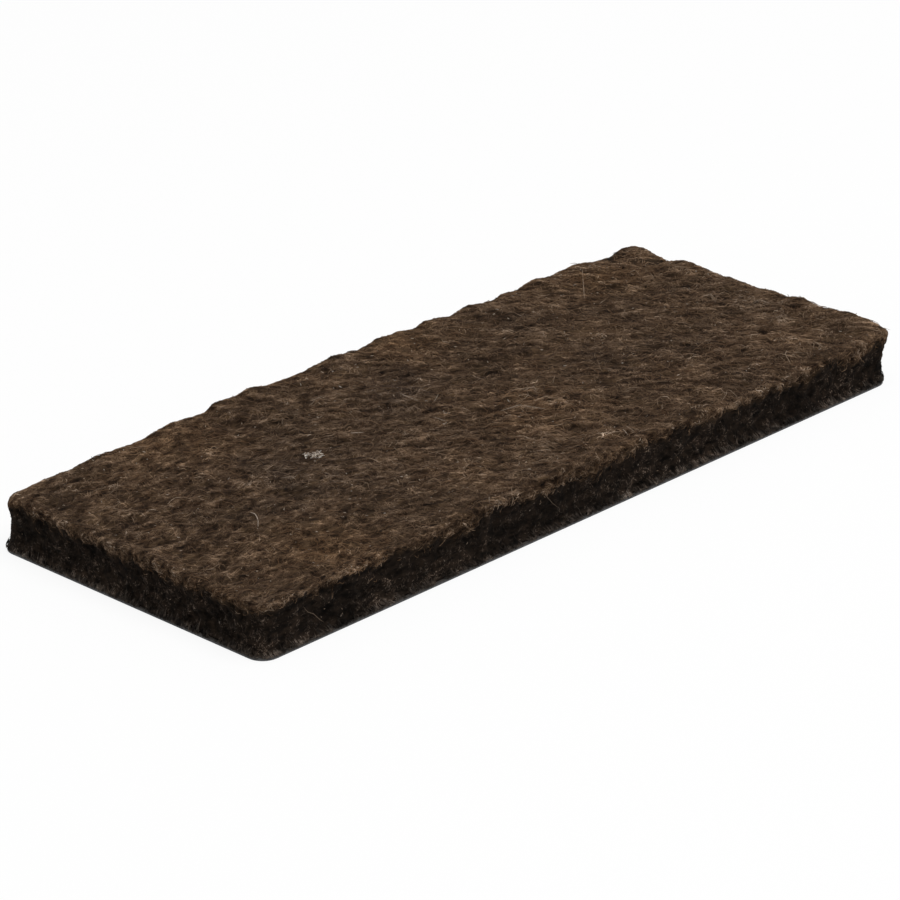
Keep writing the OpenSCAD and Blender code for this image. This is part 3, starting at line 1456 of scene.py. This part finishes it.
@dataclass
class Studio:
    """Pale floor, soft light from above and the camera."""

    azimuth: float = math.radians(-46.24)
    elevation: float = math.radians(24.27)
    distance: float = 600 * MM
    lens: float = 217.9
    sensor: float = 36.0
    clip_start: float = 0.01
    aim_across: float = -1.08 * MM
    aim_up: float = 1.34 * MM
    floor_size: float = 6.0
    floor_drop: float = 0.03 * MM
    floor_colour: Colour = (0.75, 0.75, 0.75, 1.0)
    floor_white: float = 0.88
    key_size: float = 0.9
    key_height: float = 0.9
    key_place: Span = (0.05, -0.25)
    key_power: float = 9.0
    world_strength: float = 0.45

    def build(self) -> None:
        """Set up the floor, the light and the camera."""
        self.lay_floor()
        self.hang_key()
        self.light_world()
        self.place_camera()
        bpy.context.scene.view_settings.view_transform = "Standard"

    @staticmethod
    def seen_directly(graph: Graph) -> Socket:
        """Make a mask of what the camera sees, straight or in a reflection or through glass.

        Args:
            graph: The tree that the mask goes into.

        Returns:
            The mask, 0 or 1.
        """
        path = graph.add("ShaderNodeLightPath")
        seen = graph.sum("MAXIMUM", path.outputs["Is Camera Ray"], path.outputs["Is Glossy Ray"])
        return graph.sum("MAXIMUM", seen, path.outputs["Is Transmission Ray"])

    def lay_floor(self) -> None:
        """Lay a pale floor that shows white and keeps a faint shadow."""
        bpy.ops.object.select_all(action="DESELECT")
        height = CAD_BOX[0].z - self.floor_drop
        bpy.ops.mesh.primitive_plane_add(size=self.floor_size, location=(0, 0, height))
        floor = bpy.context.object
        floor.name = "floor"
        material = bpy.data.materials.new("Pale floor")
        material.use_nodes = True
        graph = Graph(material.node_tree)
        graph.tree.nodes.clear()
        output = graph.add("ShaderNodeOutputMaterial")
        matt = graph.add("ShaderNodeBsdfDiffuse", {"Color": self.floor_colour})
        white = graph.add("ShaderNodeEmission", {"Color": WHITE, "Strength": 1.0})
        blend = graph.add("ShaderNodeMixShader")
        graph.join(graph.sum("MULTIPLY", self.seen_directly(graph), self.floor_white), blend.inputs["Fac"])
        graph.join(matt.outputs["BSDF"], blend.inputs[1])
        graph.join(white.outputs["Emission"], blend.inputs[2])
        graph.join(blend.outputs["Shader"], output.inputs["Surface"])
        floor.data.materials.append(material)

    def hang_key(self) -> None:
        """Hang one large soft lamp over the pad."""
        bpy.ops.object.light_add(type="AREA", location=(*self.key_place, self.key_height))
        key = bpy.context.object
        key.name = "key_lamp"
        key.data.shape = "DISK"
        key.data.size = self.key_size
        key.data.energy = self.key_power
        key.rotation_mode = "QUATERNION"
        key.rotation_quaternion = (-key.location).to_track_quat("-Z", "Y")

    def light_world(self) -> None:
        """Fill with even light, and show white behind the floor."""
        world = bpy.data.worlds.new("Studio")
        bpy.context.scene.world = world
        world.use_nodes = True
        graph = Graph(world.node_tree)
        fill = graph.tree.nodes["Background"]
        fill.inputs["Color"].default_value = WHITE
        fill.inputs["Strength"].default_value = self.world_strength
        white = graph.add("ShaderNodeBackground", {"Color": WHITE, "Strength": 1.0})
        blend = graph.add("ShaderNodeMixShader")
        graph.join(self.seen_directly(graph), blend.inputs["Fac"])
        graph.join(fill.outputs["Background"], blend.inputs[1])
        graph.join(white.outputs["Background"], blend.inputs[2])
        graph.join(blend.outputs["Shader"], graph.tree.nodes["World Output"].inputs["Surface"])

    def place_camera(self) -> None:
        """Look at the pad from over its front corner."""
        back = Vector((
            math.sin(self.azimuth) * math.cos(self.elevation),
            -math.cos(self.azimuth) * math.cos(self.elevation),
            math.sin(self.elevation),
        ))
        right = Vector((math.cos(self.azimuth), math.sin(self.azimuth), 0))
        upward = back.cross(right)
        aim = right * self.aim_across + upward * self.aim_up
        bpy.ops.object.camera_add(location=aim + back * self.distance)
        camera = bpy.context.object
        camera.rotation_mode = "QUATERNION"
        camera.rotation_quaternion = back.to_track_quat("Z", "Y")
        camera.data.sensor_width = self.sensor
        camera.data.lens = self.lens
        camera.data.clip_start = self.clip_start
        bpy.context.scene.camera = camera


NAP_LAYERS = (
    NapLayer(
        "felt_nap_deep", Zone.FACE, locks=1100, per_lock=9, seed=11,
        length=(1.0 * MM, 3.0 * MM), radius=(0.038 * MM, 0.054 * MM), lift=(0.0, 0.06 * MM),
        tone=(0.32, 0.09), warmth=(0.6, 0.06), steps=2,
    ),
    NapLayer(
        "felt_nap_lower", Zone.FACE, locks=1100, per_lock=9, seed=12,
        length=(1.0 * MM, 2.8 * MM), radius=(0.036 * MM, 0.052 * MM), lift=(0.0, 0.08 * MM),
        tone=(0.34, 0.09), warmth=(0.6, 0.05), lock_turn=math.radians(45),
    ),
    NapLayer(
        "felt_nap_middle", Zone.FACE, locks=1100, per_lock=9, seed=13,
        length=(0.9 * MM, 2.6 * MM), radius=(0.034 * MM, 0.048 * MM), lift=(0.0, 0.16 * MM),
        tone=(0.36, 0.09), warmth=(0.6, 0.05), lock_turn=math.radians(50),
    ),
    NapLayer(
        "felt_nap_upper", Zone.FACE, locks=1100, per_lock=9, seed=14,
        length=(0.9 * MM, 2.4 * MM), radius=(0.034 * MM, 0.048 * MM), lift=(0.01 * MM, 0.24 * MM),
        tone=(0.36, 0.09), warmth=(0.6, 0.05), lock_turn=math.radians(60),
    ),
    NapLayer(
        "felt_nap_crossing", Zone.FACE, locks=1650, per_lock=6, seed=19,
        length=(0.8 * MM, 2.0 * MM), radius=(0.03 * MM, 0.044 * MM), lift=(0.02 * MM, 0.32 * MM),
        tone=(0.37, 0.09), warmth=(0.6, 0.05), lock_turn=math.radians(75), stand=0.08 * MM,
    ),
    NapLayer(
        "felt_nap_loose", Zone.FACE, locks=3700, per_lock=2, seed=15,
        length=(0.9 * MM, 3.6 * MM), radius=(0.028 * MM, 0.04 * MM), lift=(0.06 * MM, 0.42 * MM),
        tone=(0.39, 0.11), warmth=(0.6, 0.06), wool=Wool.LOOSE, lock_turn=math.radians(85),
        stand=0.15 * MM, steps=4,
    ),
    NapLayer(
        "felt_rim_fringe", Zone.RIM, locks=1600, per_lock=5, seed=16,
        length=(0.6 * MM, 1.6 * MM), radius=(0.036 * MM, 0.05 * MM), lift=(0.0, 0.16 * MM),
        tone=(0.47, 0.12), warmth=(0.65, 0.1), strays=0.06,
    ),
    NapLayer(
        "felt_rim_tangle", Zone.RIM, locks=1700, per_lock=5, seed=21,
        length=(0.5 * MM, 1.3 * MM), radius=(0.032 * MM, 0.046 * MM), lift=(0.02 * MM, 0.22 * MM),
        tone=(0.5, 0.13), warmth=(0.65, 0.1), lock_turn=math.radians(75), stand=0.06 * MM, strays=0.08,
    ),
    NapLayer(
        "felt_cut_fibres_deep", Zone.WALL, locks=1900, per_lock=5, seed=17,
        length=(0.25 * MM, 0.7 * MM), radius=(0.045 * MM, 0.065 * MM), lift=(0.0, 0.08 * MM),
        tone=(0.52, 0.07), warmth=(0.5, 0.12), wool=Wool.CUT, lock_length=0.28 * MM,
        lock_width=0.25 * MM, steps=2,
    ),
    NapLayer(
        "felt_cut_fibres_outer", Zone.WALL, locks=1900, per_lock=5, seed=18,
        length=(0.2 * MM, 0.5 * MM), radius=(0.045 * MM, 0.065 * MM), lift=(0.0, 0.08 * MM),
        tone=(0.57, 0.08), warmth=(0.5, 0.12), wool=Wool.CUT, lock_length=0.28 * MM,
        lock_width=0.25 * MM, steps=2,
    ),
    NapLayer(
        "felt_foot_fuzz", Zone.FOOT, locks=1100, per_lock=5, seed=20,
        length=(0.2 * MM, 0.7 * MM), radius=(0.035 * MM, 0.055 * MM), lift=(0.0, 0.0),
        tone=(0.53, 0.1), warmth=(0.25, 0.12), wool=Wool.CUT, lock_length=0.3 * MM,
        lock_width=0.1 * MM,
    ),
)
PATCHES = (
    Patch(0.0 * MM, 9.0 * MM, 5.0 * MM, -0.12, -0.4),
    Patch(22.0 * MM, -2.0 * MM, 6.0 * MM, -0.1, -0.15),
    Patch(-23.0 * MM, 1.0 * MM, 7.0 * MM, -0.07, -0.35),
    Patch(45.0 * MM, -9.0 * MM, 6.0 * MM, 0.1, 0.1),
    Patch(6.0 * MM, -5.0 * MM, 7.0 * MM, 0.07, 0.2),
    Patch(39.0 * MM, 14.0 * MM, 5.0 * MM, 0.08, 0.5),
    Patch(-28.0 * MM, 18.0 * MM, 7.0 * MM, 0.02, 0.25),
    Patch(-26.0 * MM, 11.0 * MM, 4.0 * MM, -0.06, 0.0),
    Patch(-48.0 * MM, -18.0 * MM, 8.0 * MM, -0.06, 0.0),
    Patch(-34.0 * MM, -14.0 * MM, 6.0 * MM, 0.0, 0.35),
    Patch(-40.0 * MM, 0.0 * MM, 16.0 * MM, -0.07, 0.0),
    Patch(-44.0 * MM, 14.0 * MM, 5.0 * MM, -0.06, 0.0),
    Patch(-10.0 * MM, 11.0 * MM, 4.0 * MM, 0.09, 0.0),
    Patch(9.0 * MM, 18.0 * MM, 5.0 * MM, 0.05, 0.4),
)
THREADS = (
    Thread(
        ((-34.5, -2.5), (-34.45, -3.1), (-34.8, -3.75), (-35.45, -4.6), (-36.45, -5.6)),
        radius=0.055 * MM, tone=0.38, lift=0.25 * MM,
    ),
    Thread(((40.0, 18.5), (32.8, 11.5)), radius=0.05 * MM, tone=0.22, warmth=1.0),
    Thread(((-1.5, 7.7), (-1.6, 5.0)), radius=0.045 * MM, tone=0.2),
    Thread(((-0.6, 3.4), (1.4, 4.6)), radius=0.045 * MM, tone=0.2),
    Thread(((2.8, -3.5), (5.4, -3.9), (6.6, -6.7)), radius=0.045 * MM, tone=0.15),
    Thread(((-3.3, 0.9), (-3.2, -1.1)), radius=0.045 * MM, tone=0.1),
    Thread(((-12.8, 4.2), (-11.7, 3.3)), radius=0.05 * MM, tone=0.25),
    Thread(
        ((-10.9, -18.0), (-12.6, -19.9), (-13.2, -20.2)),
        radius=0.045 * MM, tone=0.12, warmth=1.0, heights=(Thread.FACE_TOP, Thread.FACE_TOP, 5.4),
    ),
    Thread(((8.3, -16.6), (7.5, -18.1)), radius=0.05 * MM, tone=0.3),
    Thread(((-8.6, -20.1), (-5.7, -20.1)), radius=0.04 * MM, tone=0.0, heights=(5.8, 2.7)),
    Thread(((-43.8, -20.1), (-40.8, -20.1)), radius=0.04 * MM, tone=0.0, heights=(4.2, 1.6)),
)
# Lumps and dips of the two far rims: place along the rim and height there, in millimetres
FAR_SIDE_RIM = (
    (-50, 0.05), (-44, 0.3), (-40, 0.1), (-36, 0.5), (-30, 0.0), (-25, 0.75), (-20, 0.3), (-18.5, 0.95),
    (-15, 0.85), (-13, 1.15), (-10, 0.5), (-4.5, 0.35), (0, 0.95), (4, 0.3), (7, 0.8), (10, 0.65), (13, 0.2),
    (14.5, 0.65), (19, -0.2), (22, 0.3), (26, -0.3), (28, 0.1), (30, -0.25), (33, 0.45), (35, -0.1),
    (39, 0.15), (41, 0.1), (43, -0.4), (46, -1.0), (48, -0.5), (50, 0.1),
)
FAR_END_RIM = (
    (20, 0.1), (17.5, 0.1), (13.5, -0.6), (11, 0.45), (8.5, 0.3), (5, 0.0), (3.5, 0.3), (0, 0.1),
    (-3, 0.55), (-5, 0.4), (-7, 1.0), (-9.5, 0.5), (-14.5, 1.1), (-18, 0.65), (-20, 0.1),
)
# The strip's dark greys are painted shade, for the thin strip lies in shade under the felt's foot.
TAPE_LAYERS = (
    LayerFinish("felt_side_adhesive", SheetFinish("Adhesive coat", "#22201e", "#443f3c", 0.6)),
    LayerFinish("tape_carrier", SheetFinish("Carrier tissue", "#282625", "#4a4744", 0.8)),
    LayerFinish("furniture_side_adhesive", SheetFinish("Adhesive face", "#2b2a29", "#514f4d", 0.5)),
    LayerFinish("release_liner", SheetFinish("Liner paper", "#3a3a3b", "#5e5f60", 0.6, coat=0.1)),
)


def main() -> None:
    """Build the felt, its fibres, the tape's finishes and the studio."""
    logging.basicConfig(level=logging.INFO, format="%(name)s: %(message)s")
    heather = HeatherGroup().build()
    block = FeltBlock()
    felt = block.build()
    untufted = FeltSurface(felt, block.low.z)
    block.tuft(felt)
    surface = FeltSurface(felt, block.low.z)
    block.dress(felt, FeltFinish().build(heather))
    LOG.info("%s: %d faces", felt.name, len(felt.data.polygons))
    finishes = {wool: wool.value.build(heather) for wool in Wool}
    bundles = [(layer.build(block, surface, untufted), layer.wool) for layer in NAP_LAYERS]
    bundles.append((PaleLint().build(block, surface), Wool.LINT))
    for fibres, wool in bundles:
        fibres.data.materials.append(finishes[wool])
        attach(fibres, "pad")
        LOG.info("%s: %d faces", fibres.name, len(fibres.data.polygons))
    for layer in TAPE_LAYERS:
        layer.dress()
    Studio().build()


if __name__ == "__main__":
    main()
